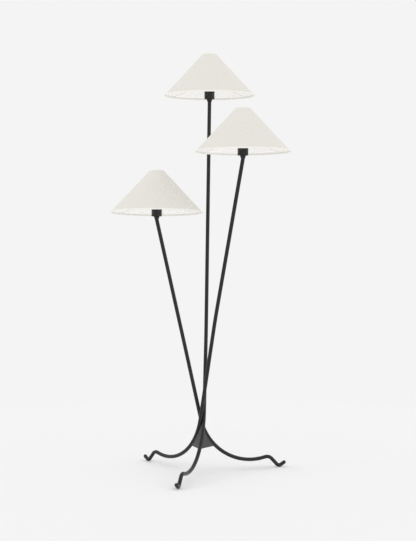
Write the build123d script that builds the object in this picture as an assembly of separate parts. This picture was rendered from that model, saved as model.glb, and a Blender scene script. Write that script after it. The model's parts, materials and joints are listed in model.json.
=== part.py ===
"""Tree floor lamp: three bent tubes, each a stem above the hub and a leg below it."""
import os
from math import atan2, cos, hypot, radians, sin, sqrt, tan

from build123d import *

os.makedirs("parts", exist_ok=True)

# All sizes are in millimetres and degrees. +Z is up and +Y points away from the viewer.
# The origin is on the floor, under the hub's upright axis.

fit_gap = 0.03              # left between pieces that are welded, glued or pressed together

# The three frame tubes
tube_diameter = 16.0
tube_wall = 1.5
hub_clearance = 0.17        # added to the place where three upright tubes would just touch
knee_height = -11.7         # where the lines of stem and leg would meet
bow_radius = 2500.0         # of the slight bend in each stem
crest_bend_radius = 32.6
foot_reach = 363.4          # from the hub's axis to the low point of a foot
foot_bend_radius = 17.1
foot_drop_angle = 46.7
foot_drop_length = 66.9
toe_angle = 31.9
toe_length = 30.1
foot_flat_depth = 0.3       # ground off under each foot, so that the lamp doesn't rock
wire_hole_diameter = 6.0
wire_hole_height = 150.0

# Each arm: where its leg points, how its stem leans below and above the slight bow in it, where
# the stem crosses the hub's axis, how high the bow lies, how much of the leg is straight before
# its crest, how high its head starts, and how far the head is tipped back
arms = {
    "tall": {
        "azimuth": 253.57, "lean": 5.08, "upper_lean": 3.02, "crossing": 195.7, "bow": 587.0,
        "straight": 16.3, "top": 1590.8, "tip": -1.9},
    "right": {
        "azimuth": 129.97, "lean": 12.78, "upper_lean": 14.65, "crossing": 218.9, "bow": 661.0,
        "straight": 7.2, "top": 1323.8, "tip": -0.4},
    "left": {
        "azimuth": 18.98, "lean": 12.88, "upper_lean": 13.06, "crossing": 224.9, "bow": 528.0,
        "straight": 1.9, "top": 1080.4, "tip": 2.4},
}
# Skirt panels between neighbouring legs: the arms whose legs each joins, and how high it reaches
panels = {
    "front_left": {"legs": ("right", "tall"), "top": 208.0},
    "front_right": {"legs": ("tall", "left"), "top": 193.0},
    "rear": {"legs": ("left", "right"), "top": 193.0},
}

# The hub's skirt, cover and wiring
panel_thickness = 2.0
panel_bottom = 109.5
panel_sections = 7
panel_set_out = 1.0         # how far the panels stand outside the tubes' centre lines
tab_width = 14.0
tab_depth = 11.0
tab_thickness = 2.5
cover_thickness = 2.0
cover_recess = 2.0
cover_margin = 1.0
screw_diameter = 4.0
screw_length = 8.0
screw_head_diameter = 7.5
screw_head_height = 2.4
screw_hole_clearance = 0.2
screw_slot_width = 1.0
screw_slot_depth = 0.8
gland_bore_diameter = 7.0
gland_neck_diameter = 12.0
gland_flange_diameter = 17.0
gland_flange_thickness = 2.0
gland_edge = 1.0
terminal_width = 11.0
terminal_length = 15.0
terminal_height = 14.0
terminal_edge = 1.5
lead_spread = 4.0           # from the hub's axis to where each lead ends in the block
lead_entry = 3.0
lead_diameter = 4.0
lead_bend_radius = 6.0

# The end of each toe
plug_clearance = 0.03
plug_depth = 6.0

# Head: neck and cup
neck_height = 12.5
neck_lip = 0.5              # how far the neck's foot stands out past the tube
neck_top_diameter = 24.0
neck_rim_height = 2.0
cup_diameter = 44.0
cup_height = 38.0
cup_wall = 1.2
cup_floor = 1.5
cup_edge_radius = 1.2

# Head: nipple, nut and lampholder
nipple_diameter = 10.0
nipple_bore = 7.0
nipple_seat = 3.0           # wall left under the nipple in the neck
thread_clearance = 0.05
nut_across_flats = 14.0
nut_height = 4.0
nipple_reach = 8.0          # into the lampholder, past the nut
holder_base_diameter = 34.0
holder_base_height = 22.0
holder_step_height = 2.0
holder_body_diameter = 38.0
holder_shoulder_height = 58.0
holder_shoulder_diameter = 46.0
holder_shoulder_thickness = 3.0
holder_collar_diameter = 38.0
holder_height = 72.0
shell_depth = 28.0
shell_recess = 1.0          # of the thread shell's edge below the lampholder's rim
thread_pitch = 3.63
thread_depth = 0.9
thread_turns = 4
thread_start = 8.0          # above the well's floor
cap_diameter = 26.0
shell_clearance = 0.25
shell_wall = 0.4
contact_diameter = 9.0
contact_height = 1.2
contact_leaf_width = 5.0
contact_leaf_length = 18.0

# Head: turn switch
switch_height = 40.0        # above the foot of the lampholder
switch_azimuth = 90.0
switch_shaft_diameter = 4.0
switch_shaft_depth = 8.0
switch_running_clearance = 0.05
knob_diameter = 11.0
knob_length = 16.0
knob_gap = 4.0
knob_waist_diameter = 6.5
knob_waist_length = 5.6
knob_grip_start = 8.0
knob_edge = 1.0
knob_bore_depth = 9.6
knob_flutes = 10
knob_flute_radius = 0.9
knob_flute_depth = 0.6

# Head: shade, its wire frame and the ring that clamps it
shade_diameter = 390.0
shade_top_diameter = 56.0
shade_height = 180.0
shade_rim_above_neck = 28.0
shade_thickness = 1.0
hem_width = 7.0
hem_thickness = 0.5
hem_clearance = 0.1
ring_wire_diameter = 3.0
spoke_wire_diameter = 2.6
spoke_azimuths = (30.0, 150.0, 270.0)
spoke_overlap = 1.0         # of a spoke's end on the fitter ring
fitter_outer_diameter = 54.0
fitter_thickness = 1.5
fitter_clearance = 0.4
clamp_diameter = 50.0
clamp_height = 9.0
clamp_clearance = 0.08
clamp_grips = 24
clamp_grip_radius = 1.6
clamp_grip_depth = 0.8
clamp_foot_height = 2.0     # plain band under the grips

# Bulb
bulb_diameter = 60.0
bulb_length = 108.0
bulb_neck_diameter = 27.0
bulb_neck_height = 4.0
bulb_belly_angle = 20.0     # below the ball's middle, where the neck's curve meets it
bulb_wall = 1.0
cap_contact_height = 2.0
cap_wall = 1.0
cap_shoulder = 2.0          # round the cap's end contact
cap_rim_clearance = 0.5     # over the lampholder's rim
cap_flare_height = 1.0

# Sizes that follow from the ones above
tube_radius = tube_diameter / 2
hub_offset = tube_diameter / sqrt(3) + hub_clearance   # from the hub's axis to each tube's plane
holder_base = neck_height + cup_floor + nut_height
holder_floor = holder_base + holder_height - shell_depth
shoulder_top = holder_base + holder_shoulder_height
ring_wire_radius = ring_wire_diameter / 2
shade_drop = (shade_diameter - shade_top_diameter) / 2
across = hypot(shade_height, shade_drop) / shade_height   # a width across the wall, measured level


def write(shape, name):
    """Save one node of the lamp."""
    shape.label = name
    export_step(shape, f"parts/{name}.step")
    return shape


def turned(points):
    """A solid of revolution from a closed outline of (radius, height) points."""
    outline = Polyline(*[(r, 0, z) for r, z in points], close=True)
    return revolve(make_face(outline), Axis.Z)


def tube_ring(outer_diameter, inner_diameter, bottom, top):
    """An upright ring between two heights."""
    ro, ri = outer_diameter / 2, inner_diameter / 2
    return turned([(ri, bottom), (ro, bottom), (ro, top), (ri, top)])


def half_space(side):
    """A box larger than the lamp's base, on one side of the level plane through the origin."""
    width = 4 * foot_reach
    return Box(width, width, width, align=(Align.CENTER, Align.CENTER, side))


def without(shape, cutters):
    """A shape with each cutter taken out in turn."""
    for cutter in cutters:
        shape -= cutter
    return shape


# ---- paths of the frame tubes

def arm_plane(arm):
    """The upright plane of one tube: local X runs out along its leg, local Y is up."""
    azimuth = radians(arm["azimuth"])
    outwards = Vector(cos(azimuth), sin(azimuth), 0)
    sideways = Vector(-sin(azimuth), cos(azimuth), 0)
    return Plane(origin=sideways * hub_offset, x_dir=outwards, z_dir=-sideways)


def stem_reach(arm, height):
    """How far along its leg's direction a stem's line lies at a height."""
    below, above = min(height, arm["bow"]), max(height - arm["bow"], 0)
    lower = (arm["crossing"] - below) * tan(radians(arm["lean"]))
    return lower - above * tan(radians(arm["upper_lean"]))


def leg_corners():
    """Corners of a leg's outline: crest, foot and toe end, as (reach, height)."""
    bend_centre = tube_radius - foot_flat_depth + foot_bend_radius
    half_turn = radians((foot_drop_angle + toe_angle) / 2)
    bisector = radians((toe_angle - foot_drop_angle) / 2 - 90)
    to_corner = foot_bend_radius / cos(half_turn)
    foot = (foot_reach + to_corner * cos(bisector), bend_centre + to_corner * sin(bisector))
    drop = radians(foot_drop_angle)
    toe = radians(toe_angle)
    crest = (foot[0] - foot_drop_length * cos(drop), foot[1] + foot_drop_length * sin(drop))
    end = (foot[0] + toe_length * cos(toe), foot[1] + toe_length * sin(toe))
    return crest, foot, end


def arm_points(arm, top):
    """Corner points of a tube's centre line, from a height on its stem to its toe."""
    bow, knee = (stem_reach(arm, arm["bow"]), arm["bow"]), (stem_reach(arm, knee_height), knee_height)
    return [(stem_reach(arm, top), top), bow, knee, *leg_corners()]


def knee_turn(arm):
    """Directions up the stem and out along the leg, and the run between knee and crest."""
    knee, crest = arm_points(arm, arm["top"])[2:4]
    up = radians(90 + arm["lean"])
    along = atan2(crest[1] - knee[1], crest[0] - knee[0])
    return up, along, hypot(crest[0] - knee[0], crest[1] - knee[1])


def knee_radius(arm):
    """Radius of the big bend, which takes up the run that crest and straight leave."""
    up, along, run = knee_turn(arm)
    crest_tangent = crest_bend_radius * tan((along + radians(foot_drop_angle)) / 2)
    return (run - crest_tangent - arm["straight"]) * tan((up - along) / 2)


def arm_path(arm, top):
    """Centre line of one tube, as straight runs and tangent arcs."""
    plane = arm_plane(arm)
    corners = [plane.from_local_coords(Vector(x, y, 0)) for x, y in arm_points(arm, top)]
    return FilletPolyline(
        *corners, radius=[bow_radius, knee_radius(arm), crest_bend_radius, foot_bend_radius])


def knee_arc(arm):
    """Centre of the big bend, as (reach, height), and the height where the bend starts."""
    up, along, _ = knee_turn(arm)
    half = (up - along) / 2
    middle = along + half
    reach = knee_radius(arm) / sin(half)
    tangent = knee_radius(arm) / tan(half)
    knee = (stem_reach(arm, knee_height), knee_height)
    centre = (knee[0] + reach * cos(middle), knee[1] + reach * sin(middle))
    return centre, knee[1] + tangent * sin(up)


def tube_centre(arm, height):
    """Point of a tube's centre line at a height in the stem or in the big bend."""
    centre, bend_start = knee_arc(arm)
    reach = stem_reach(arm, height)
    if height < bend_start:
        reach = centre[0] - sqrt(knee_radius(arm) ** 2 - (centre[1] - height) ** 2)
    return arm_plane(arm).from_local_coords(Vector(reach, height, 0))


def head_place(arm):
    """Where a head starts: the end of its stem, with the head's axis tipped a little."""
    end = tube_centre(arm, arm["top"])
    return Location((end.X, end.Y, end.Z), (-arm["tip"], 0, 0))


def swept(arm, diameter):
    """A round bar along a tube's centre line, running a little past the stem's end."""
    path = arm_path(arm, arm["top"] + 2 * tube_diameter)
    start = Plane(origin=path @ 0, z_dir=path % 0)
    return sweep(start * Circle(diameter / 2), path=path)


# ---- hub

def lead_route(arm):
    """Corners of one lead: terminal block, wire hole, big bend, neck and lampholder."""
    plane = arm_plane(arm)
    reach = plane.to_local_coords(tube_centre(arm, wire_hole_height)).X
    centre = knee_arc(arm)[0]
    level = (wire_hole_height - centre[1]) / knee_radius(arm)
    rise = (centre[0] - reach) / knee_radius(arm)
    slope = tan(radians(arm["lean"]))
    run = ((arm["crossing"] - wire_hole_height) * slope - reach) / (level + rise * slope)

    def along_tangent(distance):
        local = Vector(reach + distance * level, wire_hole_height + distance * rise, 0)
        return plane.from_local_coords(local)

    hole = along_tangent(-1.5 * lead_bend_radius)
    outwards = Vector(hole.X, hole.Y, 0).normalized()
    start = outwards * lead_spread + Vector(0, 0, terminal_base() + terminal_height - lead_entry)
    head = head_place(arm)
    end = (head * Pos(0, 0, holder_base + nipple_reach + lead_diameter)).position
    bow = plane.from_local_coords(Vector(stem_reach(arm, arm["bow"]), arm["bow"], 0))
    return [start, hole, along_tangent(run), bow, head.position, end]


def bar(start, end, diameter):
    """A round bar between two points."""
    along = end - start
    return Plane(origin=start, z_dir=along) * Cylinder(
        diameter / 2, along.length, align=(Align.CENTER, Align.CENTER, Align.MIN))


def frame_tube(arm, rod):
    """A tube, cut level at its stem's end and flat under its foot."""
    tube = rod - swept(arm, tube_diameter - 2 * tube_wall)
    above = head_place(arm) * half_space(Align.MIN)
    below = half_space(Align.MAX)
    start, hole = lead_route(arm)[:2]
    mouth = hole + (start - hole).normalized() * tube_diameter
    return tube - above - below - bar(hole, mouth, wire_hole_diameter)


def toe_plug(arm):
    """Domed plug pressed into the open end of a toe."""
    path = arm_path(arm, arm["top"])
    end = Plane(origin=path @ 1, z_dir=path % 1)
    stem_radius = tube_radius - tube_wall - plug_clearance
    dome = Sphere(tube_radius) & half_space(Align.MIN)
    stem = Cylinder(stem_radius, plug_depth, align=(Align.CENTER, Align.CENTER, Align.MAX))
    return end * (dome + stem)


def panel_line(pair, height):
    """Ends of a panel's middle line at a height, and the way out from the hub."""
    first = tube_centre(arms[pair[0]], height)
    second = tube_centre(arms[pair[1]], height)
    along = (second - first).normalized()
    outwards = Vector(along.Y, -along.X, 0)
    return first, second, along, outwards


def panel_section(pair, height):
    """Cross-section of a panel at a height, between the centre lines of two tubes."""
    first, second, _, outwards = panel_line(pair, height)
    near = outwards * (panel_set_out - panel_thickness / 2)
    far = outwards * (panel_set_out + panel_thickness / 2)
    return make_face(Polyline(first + near, second + near, second + far, first + far, close=True))


def tab_place(pair):
    """Place of a panel's screw tab: on its inner face, local X along the panel."""
    height = cover_top()
    first, second, along, outwards = panel_line(pair, height)
    middle = (first + second) / 2 + outwards * (panel_set_out - panel_thickness / 2)
    return Plane(origin=Vector(middle.X, middle.Y, height), x_dir=along, z_dir=(0, 0, 1))


def cover_top():
    return panel_bottom + cover_recess + cover_thickness


def terminal_base():
    return cover_top() + gland_flange_thickness


def skirt_panel(panel, rods):
    """A curved sheet between two legs, with a tab inside for the cover's screw."""
    pair = panel["legs"]
    step = (panel["top"] - panel_bottom) / (panel_sections - 1)
    heights = [panel_bottom + step * i for i in range(panel_sections)]
    sheet = loft([panel_section(pair, height) for height in heights])
    tab = tab_place(pair) * Box(
        tab_width, tab_depth, tab_thickness, align=(Align.CENTER, Align.MIN, Align.MIN))
    hole = tab_place(pair) * Pos(0, tab_depth / 2, 0) * Cylinder(
        screw_diameter / 2 + thread_clearance, 4 * tab_thickness)
    return without(sheet + tab - hole, rods)


def cover_plate(rods):
    """Three-sided plate that closes the skirt from below."""
    height = cover_top()
    inset = panel_thickness / 2 - panel_set_out + cover_margin
    edges = []
    for panel in panels.values():
        first, _, along, outwards = panel_line(panel["legs"], height)
        edges.append((first - outwards * inset, along))
    corners = []
    for (p, u), (q, v) in zip(edges, edges[1:] + edges[:1]):
        t = ((q.X - p.X) * v.Y - (q.Y - p.Y) * v.X) / (u.X * v.Y - u.Y * v.X)
        corners.append((p.X + u.X * t, p.Y + u.Y * t, height))
    plate = extrude(make_face(Polyline(*corners, close=True)), cover_thickness, dir=(0, 0, -1))
    plate -= Pos(0, 0, height) * Cylinder(gland_neck_diameter / 2, 4 * cover_thickness)
    for panel in panels.values():
        plate -= tab_place(panel["legs"]) * Pos(0, tab_depth / 2, 0) * Cylinder(
            screw_diameter / 2 + screw_hole_clearance, 4 * cover_thickness)
    return without(plate, rods)


def cover_screws():
    """Round-headed screws that hold the cover plate to the skirt's tabs."""
    head = Sphere(screw_head_diameter / 2)
    head = scale(head, by=(1, 1, 2 * screw_head_height / screw_head_diameter))
    head &= half_space(Align.MAX)
    head -= Pos(0, 0, -screw_head_height) * Box(
        screw_head_diameter, screw_slot_width, 2 * screw_slot_depth)
    shank = Cylinder(screw_diameter / 2, screw_length, align=(Align.CENTER, Align.CENTER, Align.MIN))
    screw = head + shank
    return Compound([
        tab_place(panel["legs"]) * Pos(0, tab_depth / 2, -cover_thickness) * screw
        for panel in panels.values()])


def cord_gland():
    """Rubber bush that lines the cord's way through the cover plate."""
    bottom = cover_top() - cover_thickness
    bore = gland_bore_diameter / 2
    flange = gland_flange_diameter / 2
    neck = gland_neck_diameter / 2
    low = bottom - gland_flange_thickness
    high = cover_top() + gland_flange_thickness
    return turned([
        (bore, low), (flange - gland_edge, low), (flange, low + gland_edge), (flange, bottom),
        (neck, bottom), (neck, cover_top()), (flange, cover_top()), (flange, high - gland_edge),
        (flange - gland_edge, high), (bore, high)])


def terminal_block():
    """Nylon block inside the skirt, where the three leads meet the supply."""
    block = Box(terminal_length, terminal_width, terminal_height,
                align=(Align.CENTER, Align.CENTER, Align.MIN))
    block = Pos(0, 0, terminal_base()) * fillet(block.edges().filter_by(Axis.Z), terminal_edge)
    for arm in arms.values():
        start, hole = lead_route(arm)[:2]
        block -= bar(start, hole, lead_diameter + 2 * thread_clearance)
    return block


def lead(arm):
    """Two-core lead from the terminal block, through the tube, into the lampholder."""
    radii = [lead_bend_radius, knee_radius(arm), bow_radius, 3 * lead_bend_radius]
    path = FilletPolyline(*lead_route(arm), radius=radii)
    start = Plane(origin=path @ 0, z_dir=path % 0)
    return sweep(start * Circle(lead_diameter / 2), path=path)


# ---- heads, modelled upright with the stem's end at the origin

def neck():
    """Conical collar welded on the stem's end."""
    bottom, top = tube_radius + neck_lip, neck_top_diameter / 2
    seat = nipple_diameter / 2 + thread_clearance
    way = nipple_bore / 2
    return turned([
        (way, 0), (bottom, 0), (top, neck_height - neck_rim_height), (top, neck_height),
        (seat, neck_height), (seat, nipple_seat), (way, nipple_seat)])


def cup():
    """Round cup that hides the lampholder's foot."""
    outer, inner = cup_diameter / 2, cup_diameter / 2 - cup_wall
    hole = nipple_diameter / 2 + thread_clearance
    bottom, top = neck_height, neck_height + cup_height
    body = turned([
        (hole, bottom), (outer, bottom), (outer, top), (inner, top),
        (inner, bottom + cup_floor), (hole, bottom + cup_floor)])
    low_edge = body.edges().filter_by(GeomType.CIRCLE).group_by(Axis.Z)[0].sort_by(SortBy.RADIUS)[-1]
    return fillet(low_edge, cup_edge_radius)


def nipple():
    """Threaded pipe that ties neck, cup and lampholder together."""
    return tube_ring(nipple_diameter, nipple_bore, nipple_seat, holder_base + nipple_reach)


def lock_nut():
    """Hexagon nut that clamps the cup on the neck."""
    bottom = neck_height + cup_floor
    nut = extrude(RegularPolygon(nut_across_flats / 2, 6, major_radius=False), nut_height)
    nut -= Cylinder(nipple_diameter / 2 + thread_clearance, 4 * nut_height)
    return Pos(0, 0, bottom) * nut


def thread_outline(radius, bottom, top):
    """Rounded thread ridges of a lamp cap, as (radius, height) points going up."""
    start = holder_floor + thread_start
    flank, crest = radius + 0.7 * thread_depth, radius + thread_depth
    points = [(radius, bottom)]
    for turn in range(thread_turns):
        low = start + turn * thread_pitch
        points += [
            (radius, low), (flank, low + 0.2 * thread_pitch), (crest, low + 0.5 * thread_pitch),
            (flank, low + 0.8 * thread_pitch)]
    return points + [(radius, start + thread_turns * thread_pitch), (radius, top)]


def lampholder():
    """Moulded lampholder with a shoulder for the shade and a collar for the clamp ring."""
    way = nipple_bore / 2
    seat = nipple_diameter / 2 + thread_clearance
    base, body = holder_base_diameter / 2, holder_body_diameter / 2
    shoulder, collar = holder_shoulder_diameter / 2, holder_collar_diameter / 2
    well = cap_diameter / 2 + shell_clearance + shell_wall + fit_gap
    z0 = holder_base
    low = shoulder_top - holder_shoulder_thickness
    solid = turned([
        (seat, z0), (base, z0), (base, z0 + holder_base_height),
        (body, z0 + holder_base_height + holder_step_height), (body, low), (shoulder, low),
        (shoulder, shoulder_top), (collar, shoulder_top), (collar, z0 + holder_height),
        (well, z0 + holder_height), (well, holder_floor), (way, holder_floor),
        (way, z0 + nipple_reach), (seat, z0 + nipple_reach)])
    bore = switch_shaft_diameter / 2 + switch_running_clearance
    inner = body - switch_shaft_depth
    return solid - switch_place() * Pos(0, 0, inner) * Cylinder(
        bore, 2 * switch_shaft_depth, align=(Align.CENTER, Align.CENTER, Align.MIN))


def screw_shell():
    """Thin brass shell with the lamp thread."""
    inside = cap_diameter / 2 - thread_depth + shell_clearance
    top = holder_base + holder_height - shell_recess
    inner = thread_outline(inside, holder_floor, top)
    outer = [(r + shell_wall, z) for r, z in reversed(inner)]
    return turned(inner + outer)


def centre_contact():
    """Spring leaf with a rivet, in the well's floor."""
    leaf = Box(contact_leaf_length, contact_leaf_width, contact_height / 2,
               align=(Align.CENTER, Align.CENTER, Align.MIN))
    button = Cylinder(contact_diameter / 2, contact_height,
                      align=(Align.CENTER, Align.CENTER, Align.MIN))
    return Pos(0, 0, holder_floor) * (leaf + button)


def switch_place():
    """Place of the switch's shaft: local Z runs straight out of the lampholder."""
    azimuth = radians(switch_azimuth)
    return Plane(origin=(0, 0, holder_base + switch_height), z_dir=(cos(azimuth), sin(azimuth), 0))


def switch_shaft():
    """Round shaft of the turn switch."""
    start = holder_body_diameter / 2 - switch_shaft_depth + switch_running_clearance
    end = holder_body_diameter / 2 + knob_gap + knob_bore_depth - fit_gap
    return switch_place() * Pos(0, 0, start) * Cylinder(
        switch_shaft_diameter / 2, end - start, align=(Align.CENTER, Align.CENTER, Align.MIN))


def switch_knob():
    """Fluted knob of the turn switch."""
    start = holder_body_diameter / 2 + knob_gap
    grip, waist = knob_diameter / 2, knob_waist_diameter / 2
    bore = switch_shaft_diameter / 2 + fit_gap
    knob = turned([
        (bore, 0), (waist, 0), (waist, knob_waist_length), (grip, knob_grip_start),
        (grip, knob_length - knob_edge), (grip - knob_edge, knob_length), (0, knob_length),
        (0, knob_bore_depth), (bore, knob_bore_depth)])
    flute = Pos(0, 0, knob_grip_start) * Cylinder(
        knob_flute_radius, knob_length, align=(Align.CENTER, Align.CENTER, Align.MIN))
    knob -= [
        place * flute
        for place in PolarLocations(grip + knob_flute_radius - knob_flute_depth, knob_flutes)]
    return switch_place() * Pos(0, 0, start) * knob


def shade_radius(height):
    """Outer radius of the shade at a height above its rim."""
    return shade_diameter / 2 - shade_drop * height / shade_height


def shade_band(inner_gap, outer_gap, low, high):
    """Part of a conical wall, between two distances outside the shade's own surface."""
    rim = shade_rim_above_neck
    return turned([
        (shade_radius(low) + inner_gap, rim + low), (shade_radius(low) + outer_gap, rim + low),
        (shade_radius(high) + outer_gap, rim + high), (shade_radius(high) + inner_gap, rim + high)])


def shade_cone():
    """Linen on a stiff liner, open at the top and the bottom."""
    return shade_band(-shade_thickness * across, 0, 0, shade_height)


def shade_hems():
    """Folded linen bands round the shade's two edges."""
    width = hem_width / across
    near, far = hem_clearance * across, (hem_clearance + hem_thickness) * across
    low = shade_band(near, far, 0, width)
    high = shade_band(near, far, shade_height - width, shade_height)
    return Compound([low, high])


def ring_radius(height):
    """Radius of a wire ring that lies inside the shade's wall at a height."""
    return shade_radius(height) - (shade_thickness + fit_gap + ring_wire_radius) * across


def shade_frame():
    """Rim ring, top ring, fitter ring and the spokes that carry the shade."""
    rim = shade_rim_above_neck + ring_wire_radius
    top = shade_rim_above_neck + shade_height - ring_wire_radius
    rim_ring = Pos(0, 0, rim) * Torus(ring_radius(ring_wire_radius), ring_wire_radius)
    top_ring = Pos(0, 0, top) * Torus(ring_radius(shade_height - ring_wire_radius), ring_wire_radius)
    fitter = tube_ring(
        fitter_outer_diameter, holder_collar_diameter + 2 * fitter_clearance,
        shoulder_top, shoulder_top + fitter_thickness)
    spokes = []
    for azimuth in spoke_azimuths:
        direction = Vector(cos(radians(azimuth)), sin(radians(azimuth)), 0)
        inner = direction * (fitter_outer_diameter / 2 - spoke_overlap)
        outer = direction * ring_radius(ring_wire_radius)
        start = Vector(inner.X, inner.Y, shoulder_top + fitter_thickness / 2)
        spokes.append(bar(start, Vector(outer.X, outer.Y, rim), spoke_wire_diameter))
    carrier = fitter + rim_ring + spokes
    return Compound([*carrier.solids(), top_ring])


def clamp_ring():
    """Knurled ring that holds the fitter down on the lampholder's shoulder."""
    bottom = shoulder_top + fitter_thickness
    ring = tube_ring(
        clamp_diameter, holder_collar_diameter + 2 * clamp_clearance, bottom, bottom + clamp_height)
    grip = Pos(0, 0, bottom + clamp_foot_height) * Cylinder(
        clamp_grip_radius, clamp_height, align=(Align.CENTER, Align.CENTER, Align.MIN))
    middle = clamp_diameter / 2 + clamp_grip_radius - clamp_grip_depth
    return ring - [place * grip for place in PolarLocations(middle, clamp_grips)]


def bulb_foot():
    """Height of the bulb's lowest point, resting on the centre contact."""
    return holder_floor + contact_height


def cap_top():
    """Height of the seam between cap and glass."""
    return holder_base + holder_height + cap_rim_clearance + 2 * cap_flare_height


def bulb_cap():
    """Metal cap of the bulb, with its thread, its end contact and a flare for the glass."""
    root = cap_diameter / 2 - thread_depth
    low = bulb_foot() + cap_contact_height
    seam, lip = cap_top(), bulb_neck_diameter / 2
    outline = thread_outline(root, low + cap_shoulder, seam - 2 * cap_flare_height)
    inside = root - cap_wall
    return turned([
        (0, bulb_foot()), (contact_diameter / 2, bulb_foot()),
        (contact_diameter / 2, low), (root - cap_shoulder, low), *outline,
        (lip, seam - cap_flare_height), (lip, seam), (lip - bulb_wall, seam),
        (inside, seam - 2 * cap_flare_height), (inside, low + cap_shoulder), (0, low + cap_shoulder)])


def bulb_glass():
    """Opal glass of the bulb, open where the cap closes it."""
    foot = cap_top()
    top = bulb_foot() + bulb_length
    radius, neck_radius = bulb_diameter / 2, bulb_neck_diameter / 2
    centre = top - radius
    shoulder = Vector(neck_radius, 0, foot + bulb_neck_height)

    def outline(shrink):
        ball = radius - shrink
        low = radians(bulb_belly_angle)
        high = (radians(90) - low) / 2
        join = Vector(ball * cos(low), 0, centre - ball * sin(low))
        start = Vector(shoulder.X - shrink, 0, shoulder.Z)
        side = Spline(start, join, tangents=[(0, 0, 1), (sin(low), 0, cos(low))])
        crown = ThreePointArc(
            join, Vector(ball * cos(high), 0, centre + ball * sin(high)),
            Vector(0, 0, centre + ball))
        return start, side, crown

    outer_start, outer_side, outer_crown = outline(0)
    inner_start, inner_side, inner_crown = outline(bulb_wall)
    lip_outer, lip_inner = Vector(neck_radius, 0, foot), Vector(neck_radius - bulb_wall, 0, foot)
    outline_face = make_face([
        Line(lip_inner, lip_outer), Line(lip_outer, outer_start), outer_side, outer_crown,
        Line(Vector(0, 0, top), Vector(0, 0, top - bulb_wall)), inner_crown, inner_side,
        Line(inner_start, lip_inner)])
    return revolve(outline_face, Axis.Z)


head_pieces = {
    "neck": neck, "cup": cup, "nipple": nipple, "lock_nut": lock_nut, "lampholder": lampholder,
    "screw_shell": screw_shell, "centre_contact": centre_contact, "switch_shaft": switch_shaft,
    "switch_knob": switch_knob, "shade_linen": shade_cone, "shade_hems": shade_hems,
    "shade_frame": shade_frame, "clamp_ring": clamp_ring, "bulb_cap": bulb_cap,
    "bulb_glass": bulb_glass,
}


rods = {name: swept(arm, tube_diameter) for name, arm in arms.items()}
cutters = [swept(arm, tube_diameter + 2 * fit_gap) for arm in arms.values()]
for name, arm in arms.items():
    write(frame_tube(arm, rods[name]), f"{name}_stem_tube")
    write(lead(arm), f"{name}_lead")
for name, panel in panels.items():
    write(skirt_panel(panel, cutters), f"{name}_skirt_panel")
write(cover_plate(cutters), "hub_cover")
write(cover_screws(), "cover_screws")
write(cord_gland(), "cord_gland")
write(terminal_block(), "terminal_block")
write(Compound([toe_plug(arm) for arm in arms.values()]), "toe_plugs")
for name, piece in head_pieces.items():
    upright = piece()
    for side, arm in arms.items():
        write(head_place(arm) * upright, f"{side}_{name}")
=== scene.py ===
import json
from math import atan2, cos, hypot, pi, radians, sin

import bmesh
import bpy
from mathutils import Matrix, Vector


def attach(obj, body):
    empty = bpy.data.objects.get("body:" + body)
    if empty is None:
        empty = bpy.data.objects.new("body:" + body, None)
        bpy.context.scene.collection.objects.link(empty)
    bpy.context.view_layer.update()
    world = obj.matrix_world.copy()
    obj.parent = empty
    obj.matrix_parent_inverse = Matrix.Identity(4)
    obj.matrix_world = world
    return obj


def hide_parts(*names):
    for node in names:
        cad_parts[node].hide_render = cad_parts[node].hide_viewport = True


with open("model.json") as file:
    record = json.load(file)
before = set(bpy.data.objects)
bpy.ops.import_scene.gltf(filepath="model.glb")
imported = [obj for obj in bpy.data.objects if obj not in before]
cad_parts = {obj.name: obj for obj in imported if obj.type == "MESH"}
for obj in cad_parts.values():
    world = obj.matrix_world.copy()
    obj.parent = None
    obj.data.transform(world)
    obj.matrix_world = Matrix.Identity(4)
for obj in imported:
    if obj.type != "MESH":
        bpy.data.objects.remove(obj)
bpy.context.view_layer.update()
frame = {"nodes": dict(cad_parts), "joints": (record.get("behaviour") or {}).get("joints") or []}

nodes = frame["nodes"]
sides = ("tall", "right", "left")
joints = {joint["name"]: joint for joint in frame["joints"]}
bpy.ops.object.select_all(action="DESELECT")
print("frame loaded:", len(nodes), "CAD nodes")


# ---- camera, where the photograph was taken from

cameraSettings = {
    "place": (0.0, -5.026, 0.945),
    "turn": 0.308,      # degrees to the right
    "dip": 0.93,        # degrees below level
    "focalPixels": 1177.0,
    "photoHeight": 541.0,
    "sensor": 36.0,
    "farClip": 60.0,
}


def addCamera():
    view = cameraSettings
    data = bpy.data.cameras.new("photoCamera")
    data.sensor_width = view["sensor"]
    data.lens = view["focalPixels"] / view["photoHeight"] * view["sensor"]
    data.clip_end = view["farClip"]
    camera = bpy.data.objects.new("photoCamera", data)
    camera.location = view["place"]
    camera.rotation_euler = (radians(90 - view["dip"]), 0, -radians(view["turn"]))
    bpy.context.scene.collection.objects.link(camera)
    bpy.context.scene.camera = camera
    bpy.context.scene.view_settings.view_transform = "Standard"


addCamera()
print("camera set")


# ---- colour and nodes

def toLinear(hexColour):
    channels = [int(hexColour[i:i + 2], 16) / 255 for i in (1, 3, 5)]
    linear = [c / 12.92 if c <= 0.04045 else ((c + 0.055) / 1.055) ** 2.4 for c in channels]
    return (*linear, 1.0)


def addNode(tree, kind, settings, inputs):
    # inputs are named by socket name, or by number where sockets share a name
    node = tree.nodes.new(kind)
    for name, value in settings.items():
        setattr(node, name, value)
    for name, value in inputs.items():
        if isinstance(value, bpy.types.NodeSocket):
            tree.links.new(value, node.inputs[name])
        else:
            node.inputs[name].default_value = value
    return node


def newMaterial(name, fixed):
    material = bpy.data.materials.new(name)
    material.use_nodes = True
    shader = material.node_tree.nodes["Principled BSDF"]
    for socket, value in fixed.items():
        shader.inputs[socket].default_value = value
    return material, material.node_tree, shader


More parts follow.
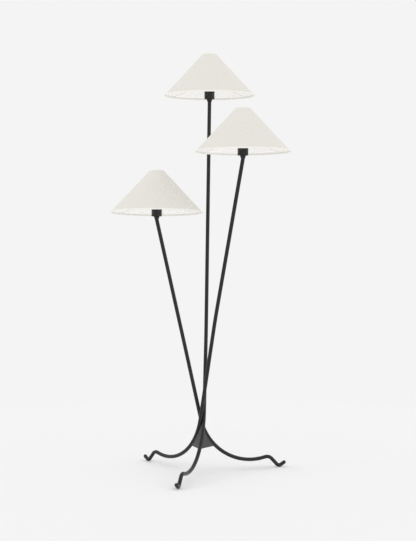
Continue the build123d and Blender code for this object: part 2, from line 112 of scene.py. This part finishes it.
def joinShader(tree, shader, colour, roughness, normal):
    for socket, value in (("Base Color", colour), ("Roughness", roughness), ("Normal", normal)):
        if value is not None:
            tree.links.new(value, shader.inputs[socket])


# ---- materials

coatSettings = {
    "tube": {"dark": "#0f0f10", "light": "#191919", "roughness": 0.34, "peelDepth": 0.00004},
    # sheet: same coat as the tubes, drawn greyer as painted reflection on the flat panels
    "sheet": {"dark": "#39393b", "light": "#464648", "roughness": 0.52, "peelDepth": 0.00006},
    "cup": {"dark": "#121213", "light": "#1b1b1c", "roughness": 0.33, "peelDepth": 0.00003},
    "peelSize": 0.0016,       # orange peel of a sprayed coat, metres
    "peelStrength": 0.15, "peelDetail": 2.0,
    "cloudSize": 0.05,        # slow change in the coat's thickness
    "cloudDetail": 3.0,
    "roughnessSpread": 0.05,
    "ior": 1.5, "specular": 0.36,
}


def powderCoat(name, kind):
    # polyester powder coat, sprayed and baked: near black and satin, with a fine orange peel
    # that breaks up the long highlights; the flat sheet is drawn greyer than the tubes as painted
    # reflection of the bright room
    coat = coatSettings[kind]
    spread = coatSettings["roughnessSpread"]
    material, tree, shader = newMaterial(name, {
        "IOR": coatSettings["ior"], "Specular IOR Level": coatSettings["specular"]})
    place = addNode(tree, "ShaderNodeTexCoord", {}, {}).outputs["Object"]
    cloud = addNode(tree, "ShaderNodeTexNoise", {}, {
        "Vector": place, "Scale": 1 / coatSettings["cloudSize"],
        "Detail": coatSettings["cloudDetail"]}).outputs["Fac"]
    peel = addNode(tree, "ShaderNodeTexNoise", {}, {
        "Vector": place, "Scale": 1 / coatSettings["peelSize"],
        "Detail": coatSettings["peelDetail"]}).outputs["Fac"]
    colour = addNode(tree, "ShaderNodeMix", {"data_type": "RGBA"}, {
        0: cloud, 6: toLinear(coat["dark"]), 7: toLinear(coat["light"])})
    gloss = addNode(tree, "ShaderNodeMapRange", {}, {
        "Value": cloud, "To Min": coat["roughness"] - spread, "To Max": coat["roughness"] + spread})
    bump = addNode(tree, "ShaderNodeBump", {}, {
        "Height": peel, "Strength": coatSettings["peelStrength"], "Distance": coat["peelDepth"]})
    joinShader(tree, shader, colour.outputs[2], gloss.outputs["Result"], bump.outputs["Normal"])
    return material


metalSettings = {
    "zinc": {"dark": "#9b9ea2", "light": "#c3c6c9", "roughness": 0.34},
    "brass": {"dark": "#a8853f", "light": "#d1b16a", "roughness": 0.28},
    "aluminium": {"dark": "#b4b5b7", "light": "#d6d7d8", "roughness": 0.3},
    "blackened": {"dark": "#1d1d1e", "light": "#2c2c2d", "roughness": 0.45},
    "markSize": 0.0009,       # turning and drawing marks, metres
    "markDetail": 4.0,
    "roughnessSpread": 0.08,
}


def plainMetal(name, kind):
    # turned or pressed small parts: soft brushed marks, a little uneven from handling
    metal = metalSettings[kind]
    spread = metalSettings["roughnessSpread"]
    material, tree, shader = newMaterial(name, {"Metallic": 1.0})
    place = addNode(tree, "ShaderNodeTexCoord", {}, {}).outputs["Object"]
    marks = addNode(tree, "ShaderNodeTexNoise", {}, {
        "Vector": place, "Scale": 1 / metalSettings["markSize"],
        "Detail": metalSettings["markDetail"]}).outputs["Fac"]
    colour = addNode(tree, "ShaderNodeMix", {"data_type": "RGBA"}, {
        0: marks, 6: toLinear(metal["dark"]), 7: toLinear(metal["light"])})
    gloss = addNode(tree, "ShaderNodeMapRange", {}, {
        "Value": marks, "To Min": metal["roughness"] - spread, "To Max": metal["roughness"] + spread})
    joinShader(tree, shader, colour.outputs[2], gloss.outputs["Result"], None)
    return material


mouldSettings = {
    "thermoset": {"dark": "#171717", "light": "#212121", "roughness": 0.42, "grain": 0.0012},
    "knob": {"dark": "#141414", "light": "#1c1c1c", "roughness": 0.22, "grain": 0.003},
    "plug": {"dark": "#151515", "light": "#1d1d1d", "roughness": 0.5, "grain": 0.0012},
    "nylon": {"dark": "#d6d0c0", "light": "#e3decf", "roughness": 0.45, "grain": 0.002},
    "insulation": {"dark": "#cfcec9", "light": "#dddcd7", "roughness": 0.4, "grain": 0.004},
    "rubber": {"dark": "#141414", "light": "#1f1f1f", "roughness": 0.75, "grain": 0.0008},
    "grainDepth": 0.00003,
    "grainStrength": 0.4, "grainDetail": 3.0,
    "roughnessSpread": 0.04,
    "ior": 1.5,
}


def moulded(name, kind):
    # moulded plastic or rubber: even colour, faint mould grain
    mould = mouldSettings[kind]
    spread = mouldSettings["roughnessSpread"]
    material, tree, shader = newMaterial(name, {"IOR": mouldSettings["ior"]})
    place = addNode(tree, "ShaderNodeTexCoord", {}, {}).outputs["Object"]
    grain = addNode(tree, "ShaderNodeTexNoise", {}, {
        "Vector": place, "Scale": 1 / mould["grain"],
        "Detail": mouldSettings["grainDetail"]}).outputs["Fac"]
    colour = addNode(tree, "ShaderNodeMix", {"data_type": "RGBA"}, {
        0: grain, 6: toLinear(mould["dark"]), 7: toLinear(mould["light"])})
    gloss = addNode(tree, "ShaderNodeMapRange", {}, {
        "Value": grain, "To Min": mould["roughness"] - spread, "To Max": mould["roughness"] + spread})
    bump = addNode(tree, "ShaderNodeBump", {}, {
        "Height": grain, "Strength": mouldSettings["grainStrength"],
        "Distance": mouldSettings["grainDepth"]})
    joinShader(tree, shader, colour.outputs[2], gloss.outputs["Result"], bump.outputs["Normal"])
    return material


linenSettings = {
    # real threads lie 0.6 to 0.7 mm apart; drawn wider, so that they show in a close view
    # paintedGlow on cover and hem is painted light, an emission on cloth that is no lamp
    "cover": {"paintedGapShade": "#d1cec7", "thread": "#e0ddd6", "slub": "#e6e3dd", "spacing": 0.0011, "paintedGlow": 0.05},
    "hem": {"paintedGapShade": "#d8d5ce", "thread": "#e4e2dc", "slub": "#eae8e3", "spacing": 0.0009, "paintedGlow": 0.13},
    "depth": 0.00012,
    "reliefStrength": 0.7,
    "slubLength": 0.018, "slubWidth": 0.0012,
    "slubStart": 0.6, "slubFull": 0.76,       # of the noise, where a slub begins and where it is full
    "slubDetail": 1.0,
    "slubHeight": 0.6,        # as a share of a thread's own height
    "crossover": 0.2,
    "roughness": 0.9, "specular": 0.2,
    "sheen": 0.06, "sheenRoughness": 0.5,
}


def wovenLinen(name, kind):
    # plain-woven flax, washed and ironed: matt round threads over and under each other,
    # with thicker slubs here and there in both directions; each thread is painted darker towards its
    # edges, as painted shade in the gaps between threads
    cloth = linenSettings[kind]
    # the paintedGlow is a painted glow on a part that is no lamp: it stands in for daylight coming
    # through the shade's thin wall and lifts its shaded sides
    material, tree, shader = newMaterial(name, {
        "Roughness": linenSettings["roughness"], "Specular IOR Level": linenSettings["specular"],
        "Sheen Weight": linenSettings["sheen"], "Sheen Roughness": linenSettings["sheenRoughness"],
        "Emission Color": toLinear(cloth["slub"]), "Emission Strength": cloth["paintedGlow"]})
    flat = addNode(tree, "ShaderNodeUVMap", {"uv_map": "flatCut"}, {}).outputs["UV"]
    parts = addNode(tree, "ShaderNodeSeparateXYZ", {}, {"Vector": flat})
    waves, rounds = [], []
    for axis in ("X", "Y"):
        turn = addNode(tree, "ShaderNodeMath", {"operation": "MULTIPLY"}, {
            0: parts.outputs[axis], 1: pi / cloth["spacing"]})
        wave = addNode(tree, "ShaderNodeMath", {"operation": "SINE"}, {0: turn.outputs[0]})
        thread = addNode(tree, "ShaderNodeMath", {"operation": "ABSOLUTE"}, {0: wave.outputs[0]})
        waves.append(wave.outputs[0])
        rounds.append(thread.outputs[0])
    cross = addNode(tree, "ShaderNodeMath", {"operation": "MULTIPLY"}, {0: waves[0], 1: waves[1]})
    over = addNode(tree, "ShaderNodeMapRange", {}, {
        "Value": cross.outputs[0], "From Min": -linenSettings["crossover"],
        "From Max": linenSettings["crossover"]}).outputs["Result"]
    weave = addNode(tree, "ShaderNodeMix", {"data_type": "FLOAT"}, {
        0: over, 2: rounds[1], 3: rounds[0]}).outputs[0]
    long, wide = 1 / linenSettings["slubLength"], 1 / linenSettings["slubWidth"]
    streaks = []
    for lengthways in ((wide, long, 1.0), (long, wide, 1.0)):
        stretched = addNode(tree, "ShaderNodeMapping", {}, {"Vector": flat, "Scale": lengthways})
        streak = addNode(tree, "ShaderNodeTexNoise", {}, {
            "Vector": stretched.outputs["Vector"], "Scale": 1.0,
            "Detail": linenSettings["slubDetail"]})
        streaks.append(addNode(tree, "ShaderNodeMapRange", {}, {
            "Value": streak.outputs["Fac"], "From Min": linenSettings["slubStart"],
            "From Max": linenSettings["slubFull"]}).outputs["Result"])
    slub = addNode(tree, "ShaderNodeMath", {"operation": "MAXIMUM"}, {
        0: streaks[0], 1: streaks[1]}).outputs[0]
    height = addNode(tree, "ShaderNodeMath", {"operation": "MULTIPLY_ADD"}, {
        0: slub, 1: linenSettings["slubHeight"], 2: weave})
    bump = addNode(tree, "ShaderNodeBump", {}, {
        "Height": height.outputs[0], "Strength": linenSettings["reliefStrength"],
        "Distance": linenSettings["depth"]})
    # painted shade: the weave's hollows between threads take the darker colour
    weaveWithPaintedShade = addNode(tree, "ShaderNodeMix", {"data_type": "RGBA"}, {
        0: weave, 6: toLinear(cloth["paintedGapShade"]), 7: toLinear(cloth["thread"])})
    thick = addNode(tree, "ShaderNodeMix", {"data_type": "RGBA"}, {
        0: slub, 6: weaveWithPaintedShade.outputs[2], 7: toLinear(cloth["slub"])})
    joinShader(tree, shader, thick.outputs[2], None, bump.outputs["Normal"])
    return material


whiteSettings = {
    # paintedGlow: a painted glow on parts that are no lamp, standing in for daylight coming through the
    # thin white wall; it lifts the shaded inside of the shades and gives the opal glass a faint glow
    "liner": {
        "dark": "#f5f4f1", "light": "#faf9f7", "roughness": 0.5, "grain": 0.02, "depth": 0.00002,
        "paintedGlow": 0.11},
    "wire": {
        "dark": "#e6e6e3", "light": "#eeeeec", "roughness": 0.35, "grain": 0.0016, "depth": 0.00003,
        "paintedGlow": 0.0},
    "opal": {
        "dark": "#efeeea", "light": "#f5f4f1", "roughness": 0.12, "grain": 0.03, "depth": 0.00001,
        "paintedGlow": 0.05},
    "grainStrength": 0.3, "grainDetail": 3.0,
    "roughnessSpread": 0.04,
    "ior": 1.52,
}


def paleSkin(name, kind):
    # styrene liner, epoxy-coated wire or opal glass: a white skin with a slow unevenness
    skin = whiteSettings[kind]
    spread = whiteSettings["roughnessSpread"]
    # the emission below is painted light, not a lamp
    material, tree, shader = newMaterial(name, {
        "IOR": whiteSettings["ior"], "Emission Color": toLinear(skin["light"]),
        "Emission Strength": skin["paintedGlow"]})
    place = addNode(tree, "ShaderNodeTexCoord", {}, {}).outputs["Object"]
    grain = addNode(tree, "ShaderNodeTexNoise", {}, {
        "Vector": place, "Scale": 1 / skin["grain"],
        "Detail": whiteSettings["grainDetail"]}).outputs["Fac"]
    colour = addNode(tree, "ShaderNodeMix", {"data_type": "RGBA"}, {
        0: grain, 6: toLinear(skin["dark"]), 7: toLinear(skin["light"])})
    gloss = addNode(tree, "ShaderNodeMapRange", {}, {
        "Value": grain, "To Min": skin["roughness"] - spread, "To Max": skin["roughness"] + spread})
    bump = addNode(tree, "ShaderNodeBump", {}, {
        "Height": grain, "Strength": whiteSettings["grainStrength"], "Distance": skin["depth"]})
    joinShader(tree, shader, colour.outputs[2], gloss.outputs["Result"], bump.outputs["Normal"])
    return material


materials = {
    "tubeCoat": powderCoat("tubePowderCoat", "tube"),
    "sheetCoat": powderCoat("sheetPowderCoatPaintedReflection", "sheet"),
    "cupCoat": powderCoat("cupPowderCoat", "cup"),
    "zinc": plainMetal("zincPlatedSteel", "zinc"),
    "brass": plainMetal("pressedBrass", "brass"),
    "aluminium": plainMetal("pressedAluminium", "aluminium"),
    "blackened": plainMetal("blackenedSteel", "blackened"),
    "thermoset": moulded("mouldedThermoset", "thermoset"),
    "knob": moulded("glossyThermoset", "knob"),
    "plug": moulded("mouldedPolyethylene", "plug"),
    "nylon": moulded("naturalNylon", "nylon"),
    "insulation": moulded("pvcInsulation", "insulation"),
    "rubber": moulded("mouldedRubber", "rubber"),
    "linen": wovenLinen("washedLinen", "cover"),
    "hemLinen": wovenLinen("linenHemTape", "hem"),
    "liner": paleSkin("styreneLiner", "liner"),
    "wire": paleSkin("epoxyCoatedWire", "wire"),
    "opal": paleSkin("opalGlass", "opal"),
}

# which finish each CAD node gets, by the end of its name
pieceMaterials = {
    "stem_tube": "tubeCoat", "lead": "insulation", "neck": "cupCoat", "cup": "cupCoat",
    "nipple": "zinc", "lock_nut": "zinc", "lampholder": "thermoset", "screw_shell": "brass",
    "centre_contact": "brass", "switch_shaft": "zinc", "switch_knob": "knob",
    "shade_linen": "linen", "shade_hems": "hemLinen", "shade_frame": "wire",
    "clamp_ring": "thermoset", "bulb_cap": "aluminium", "bulb_glass": "opal",
    "skirt_panel": "sheetCoat", "hub_cover": "sheetCoat", "cover_screws": "blackened",
    "cord_gland": "rubber", "terminal_block": "nylon", "toe_plugs": "plug",
}


def dress(piece, key):
    piece.data.materials.clear()
    piece.data.materials.append(materials[key])


for nodeName, node in nodes.items():
    for ending, key in pieceMaterials.items():
        if nodeName.endswith(ending):
            dress(node, key)
print("materials made:", len(materials))


# ---- shades

shadeSettings = {
    "facets": 192,
    "rings": 10,
    "coverThickness": 0.00055,
    "linerThickness": 0.0004,
    "hemWidth": 0.007,        # outside, along the slant
    "hemTurnIn": 0.0085,      # inside, along the slant
    "hemThickness": 0.0005,
    "hemClearance": 0.0001,
    "wireRadius": 0.0015,
    "wireInset": 0.00253,     # of the wire's middle from the shade's outer face
    "foldSteps": 9,
    "foldLead": 30.0,         # from the wall's outward direction back to where the fold starts
    "foldSweep": 215.0,
    "seamWidth": 0.009,
    "seamThickness": 0.0005,
    "seamAzimuth": 90.0,      # away from the viewer
    "seamColumns": 4, "seamRows": 24,
    "seamLift": 0.001,        # before it is drawn onto the cover
    "flatWidth": 0.573, "flatLength": 0.441,
    "creaseAngle": 40.0,
    "edgeBand": 0.001,        # how near to an end of the cone a point counts as on its edge
}


def headMatrix(side):
    joint = joints[f"{side}_shade_turn"]
    turn = Vector((0, 0, 1)).rotation_difference(Vector(joint["axis"]))
    return Matrix.Translation(Vector(joint["pos_m"])) @ turn.to_matrix().to_4x4()


def shadeMeasures(side):
    # the cone's radii and heights, seen along the head's own axis
    back = headMatrix(side).inverted()
    points = [back @ v.co for v in nodes[f"{side}_shade_linen"].data.vertices]
    low, high = min(p.z for p in points), max(p.z for p in points)
    rim = max(hypot(p.x, p.y) for p in points if p.z < low + shadeSettings["edgeBand"])
    top = max(hypot(p.x, p.y) for p in points if p.z > high - shadeSettings["edgeBand"])
    drop, rise = rim - top, high - low
    return {"low": low, "high": high, "rim": rim, "top": top, "drop": drop, "rise": rise,
            "slant": hypot(drop, rise)}


def onShade(size, along, outward):
    # (radius, height) of a point so far up the slant from the rim and so far out from the wall
    share, lift = size["drop"] / size["slant"], size["rise"] / size["slant"]
    return (size["rim"] - share * along + lift * outward, size["low"] + lift * along + share * outward)


def coneBand(name, size, inset):
    # open cone wall from rim to top, moved inwards by inset
    (r1, z1), (r2, z2) = onShade(size, 0.0, -inset), onShade(size, size["slant"], -inset)
    bpy.ops.mesh.primitive_cone_add(
        vertices=shadeSettings["facets"], radius1=r1, radius2=r2, depth=z2 - z1,
        end_fill_type="NOTHING", location=(0, 0, (z1 + z2) / 2))
    band = bpy.context.active_object
    band.name = name
    bpy.ops.object.transform_apply(location=True, rotation=True, scale=True)
    bpy.ops.object.mode_set(mode="EDIT")
    bpy.ops.mesh.select_all(action="DESELECT")
    mesh = bmesh.from_edit_mesh(band.data)
    for edge in mesh.edges:
        rise = abs(edge.verts[0].co.z - edge.verts[1].co.z)
        edge.select = rise > (z2 - z1) / 2
    bmesh.update_edit_mesh(band.data)
    bpy.ops.mesh.subdivide_edgering(number_cuts=shadeSettings["rings"], interpolation="LINEAR")
    bpy.ops.object.mode_set(mode="OBJECT")
    return band


def thicken(piece, thickness, offset):
    wall = piece.modifiers.new("wall", "SOLIDIFY")
    wall.thickness = thickness
    wall.offset = offset
    wall.use_even_offset = True
    bpy.context.view_layer.objects.active = piece
    bpy.ops.object.modifier_apply(modifier=wall.name)


def seamAngle(point, near=None):
    # angle round the head's axis, counted from the back seam
    angle = (atan2(point.y, point.x) - radians(shadeSettings["seamAzimuth"])) % (2 * pi)
    if near is not None:
        angle += round((near - angle) / (2 * pi)) * 2 * pi
    return angle


def flatCutUvs(piece, size):
    # each point's place on the flat cloth, before it was rolled into a cone
    share = size["drop"] / size["slant"]
    apex = size["low"] + size["rise"] * size["rim"] / size["drop"]
    layer = piece.data.uv_layers.active or piece.data.uv_layers.new()
    layer.name = "flatCut"
    for face in piece.data.polygons:
        middle = seamAngle(face.center)
        for loop in face.loop_indices:
            point = piece.data.vertices[piece.data.loops[loop].vertex_index].co
            angle = seamAngle(point, middle) * share
            along = (apex - point.z) * size["slant"] / size["rise"]
            layer.data[loop].uv = (along * cos(angle), along * sin(angle))


def tapeUvs(piece, profile):
    # a hem tape is cut straight: one way runs round the shade, the other across the tape
    lengths = [0.0]
    for (r0, z0), (r1, z1) in zip(profile, profile[1:]):
        lengths.append(lengths[-1] + hypot(r1 - r0, z1 - z0))
    layer = piece.data.uv_layers.active or piece.data.uv_layers.new()
    layer.name = "flatCut"
    for face in piece.data.polygons:
        middle = seamAngle(face.center)
        for loop in face.loop_indices:
            point = piece.data.vertices[piece.data.loops[loop].vertex_index].co
            radius = hypot(point.x, point.y)
            nearest = min(range(len(profile)), key=lambda i: hypot(
                profile[i][0] - radius, profile[i][1] - point.z))
            layer.data[loop].uv = (seamAngle(point, middle) * profile[0][0], lengths[nearest])


def smooth(piece):
    bpy.ops.object.select_all(action="DESELECT")
    piece.select_set(True)
    bpy.context.view_layer.objects.active = piece
    bpy.ops.object.shade_smooth_by_angle(angle=radians(shadeSettings["creaseAngle"]))
    bpy.ops.object.select_all(action="DESELECT")


def settle(piece, side, key):
    # from the head's own upright place to its place on the lamp
    dress(piece, key)
    smooth(piece)
    piece.data.transform(headMatrix(side))
    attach(piece, f"{side}_shade")
    return piece


def makeCover(side, size):
    cover = coneBand(f"{side}_linen_cover", size, 0.0)
    thicken(cover, shadeSettings["coverThickness"], -1.0)
    flatCutUvs(cover, size)
    return cover


def makeLiner(side, size):
    liner = coneBand(f"{side}_shade_liner", size, shadeSettings["coverThickness"])
    thicken(liner, shadeSettings["linerThickness"], -1.0)
    return settle(liner, side, "liner")


def tapeProfile(size, atRim):
    # outside leg, fold round the ring's wire, and the leg glued to the liner inside
    settings = shadeSettings
    out = settings["hemClearance"] + settings["hemThickness"] / 2
    wrap = settings["wireRadius"] + settings["hemThickness"]
    inside = settings["wireInset"] - settings["wireRadius"] + settings["hemThickness"]
    if atRim:
        sense, edge, middle = 1, 0.0, size["low"] + settings["wireRadius"]
    else:
        sense, edge, middle = -1, size["slant"], size["high"] - settings["wireRadius"]
    along = (middle - onShade(size, 0.0, -settings["wireInset"])[1]) * size["slant"] / size["rise"]
    wire = onShade(size, along, -settings["wireInset"])
    points = [onShade(size, edge + sense * settings["hemWidth"], out), onShade(size, edge, out)]
    outwards = atan2(size["drop"], size["rise"])      # the wall's outward direction, above level
    start = outwards - sense * radians(settings["foldLead"])
    sweep = -sense * radians(settings["foldSweep"])
    for i in range(settings["foldSteps"] + 1):
        angle = start + sweep * i / settings["foldSteps"]
        points.append((wire[0] + wrap * cos(angle), wire[1] + wrap * sin(angle)))
    points.append(onShade(size, edge + sense * settings["hemTurnIn"], -inside))
    return points


def makeTape(side, size, atRim):
    profile = tapeProfile(size, atRim)
    radius, height = profile[0]
    bpy.ops.mesh.primitive_circle_add(
        vertices=shadeSettings["facets"], radius=radius, fill_type="NOTHING", location=(0, 0, height))
    tape = bpy.context.active_object
    tape.name = f"{side}_{'rim' if atRim else 'top'}_hem"
    bpy.ops.object.transform_apply(location=True, rotation=True, scale=True)
    bpy.ops.object.mode_set(mode="EDIT")
    bpy.ops.mesh.select_all(action="SELECT")
    for (r0, z0), (r1, z1) in zip(profile, profile[1:]):
        bpy.ops.mesh.extrude_region_move(TRANSFORM_OT_translate={"value": (0, 0, z1 - z0)})
        bpy.ops.transform.resize(value=(r1 / r0, r1 / r0, 1), center_override=(0, 0, z1))
    bpy.ops.mesh.select_all(action="SELECT")
    bpy.ops.mesh.normals_make_consistent(inside=False)
    bpy.ops.object.mode_set(mode="OBJECT")
    tapeUvs(tape, profile)
    thicken(tape, shadeSettings["hemThickness"], 0.0)
    return settle(tape, side, "hemLinen")


def makeSeam(side, size, cover):
    # the cover's overlapped end, glued down along the back
    settings = shadeSettings
    first = onShade(size, settings["hemWidth"], 0)
    last = onShade(size, size["slant"] - settings["hemWidth"], 0)
    length = hypot(last[0] - first[0], last[1] - first[1])
    bpy.ops.mesh.primitive_grid_add(
        x_subdivisions=settings["seamColumns"], y_subdivisions=settings["seamRows"], size=1.0,
        location=(0, 0, 0))
    seam = bpy.context.active_object
    seam.name = f"{side}_cover_seam"
    seam.scale = (settings["seamWidth"], length, 1.0)
    bpy.ops.object.transform_apply(location=True, rotation=True, scale=True)
    layer = seam.data.uv_layers.active
    layer.name = "flatCut"
    for loop in seam.data.loops:
        point = seam.data.vertices[loop.vertex_index].co
        layer.data[loop.index].uv = (point.x, point.y)
    # laid along the wall's slant at the back, facing away from the axis
    azimuth = radians(settings["seamAzimuth"])
    outward = Vector((cos(azimuth), sin(azimuth), 0))
    up = (outward * (last[0] - first[0]) + Vector((0, 0, last[1] - first[1]))).normalized()
    across = Vector((0, 0, 1)).cross(outward)
    facing = across.cross(up)
    middle = outward * (first[0] + last[0]) / 2 + Vector((0, 0, (first[1] + last[1]) / 2))
    place = Matrix((across, up, facing)).transposed().to_4x4()
    seam.data.transform(Matrix.Translation(middle + facing * settings["seamLift"]) @ place)
    hug = seam.modifiers.new("hug", "SHRINKWRAP")
    hug.target = cover
    hug.wrap_method = "NEAREST_SURFACEPOINT"
    hug.wrap_mode = "ABOVE_SURFACE"
    hug.offset = settings["hemClearance"]
    bpy.context.view_layer.objects.active = seam
    bpy.ops.object.modifier_apply(modifier=hug.name)
    thicken(seam, settings["seamThickness"], 1.0)
    return settle(seam, side, "linen")


for side in sides:
    size = shadeMeasures(side)
    print(side, "shade measures", {k: round(v, 4) for k, v in size.items()})
    cover = makeCover(side, size)
    seam = makeSeam(side, size, cover)
    settle(cover, side, "linen")
    liner = makeLiner(side, size)
    hems = [makeTape(side, size, True), makeTape(side, size, False)]
    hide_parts(f"{side}_shade_linen")
    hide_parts(f"{side}_shade_hems")
print("shades made")


# ---- floor and light

stageSettings = {
    "background": "#f4f4f4",
    "floor": "#f1f1f1",
    "floorRadius": 9.0, "floorSides": 128,
    "floorDrop": 0.0004,      # under the feet
    "fadeStart": 1.6, "fadeEnd": 3.4,
    "ambient": 0.95,
}


def addFloor():
    settings = stageSettings
    bpy.ops.mesh.primitive_circle_add(
        vertices=settings["floorSides"], radius=settings["floorRadius"], fill_type="NGON",
        location=(0, 0, -settings["floorDrop"]))
    floor = bpy.context.active_object
    floor.name = "floor"
    material = bpy.data.materials.new("paleFloor")
    material.use_nodes = True
    tree = material.node_tree
    tree.nodes.clear()
    place = addNode(tree, "ShaderNodeTexCoord", {}, {}).outputs["Object"]
    away = addNode(tree, "ShaderNodeVectorMath", {"operation": "LENGTH"}, {"Vector": place})
    fade = addNode(tree, "ShaderNodeMapRange", {"interpolation_type": "SMOOTHSTEP"}, {
        "Value": away.outputs["Value"], "From Min": settings["fadeStart"],
        "From Max": settings["fadeEnd"]})
    paint = addNode(tree, "ShaderNodeBsdfDiffuse", {}, {"Color": toLinear(settings["floor"])})
    through = addNode(tree, "ShaderNodeBsdfTransparent", {}, {})
    mix = addNode(tree, "ShaderNodeMixShader", {}, {
        "Fac": fade.outputs["Result"], 1: paint.outputs["BSDF"], 2: through.outputs["BSDF"]})
    addNode(tree, "ShaderNodeOutputMaterial", {}, {"Surface": mix.outputs["Shader"]})
    floor.data.materials.append(material)


def addWorld():
    settings = stageSettings
    world = bpy.data.worlds.new("studio")
    bpy.context.scene.world = world
    world.use_nodes = True
    tree = world.node_tree
    tree.nodes.clear()
    path = addNode(tree, "ShaderNodeLightPath", {}, {})
    seen = path.outputs["Is Camera Ray"]
    for name in ("Is Glossy Ray", "Is Transmission Ray"):
        seen = addNode(tree, "ShaderNodeMath", {"operation": "MAXIMUM"}, {
            0: seen, 1: path.outputs[name]}).outputs[0]
    light = addNode(tree, "ShaderNodeBackground", {}, {
        "Color": (1.0, 1.0, 1.0, 1.0), "Strength": settings["ambient"]})
    backdrop = addNode(tree, "ShaderNodeBackground", {}, {
        "Color": toLinear(settings["background"]), "Strength": 1.0})
    mix = addNode(tree, "ShaderNodeMixShader", {}, {
        "Fac": seen, 1: light.outputs["Background"], 2: backdrop.outputs["Background"]})
    addNode(tree, "ShaderNodeOutputWorld", {}, {"Surface": mix.outputs["Shader"]})


lampSettings = {
    # from: direction that the light comes from; spread: how wide the soft source looks, degrees
    "leftWindow": {"from": (-1.0, -0.2, 0.46), "spread": 20.0, "strength": 0.42},
    "rightWindow": {"from": (1.0, -0.4, 0.26), "spread": 60.0, "strength": 0.45},
}


def addLamps():
    for name, lamp in lampSettings.items():
        data = bpy.data.lights.new(name, "SUN")
        data.angle = radians(lamp["spread"])
        data.energy = lamp["strength"]
        window = bpy.data.objects.new(name, data)
        window.rotation_euler = (-Vector(lamp["from"])).to_track_quat("-Z", "Y").to_euler()
        bpy.context.scene.collection.objects.link(window)


addFloor()
addWorld()
addLamps()
print("stage set")
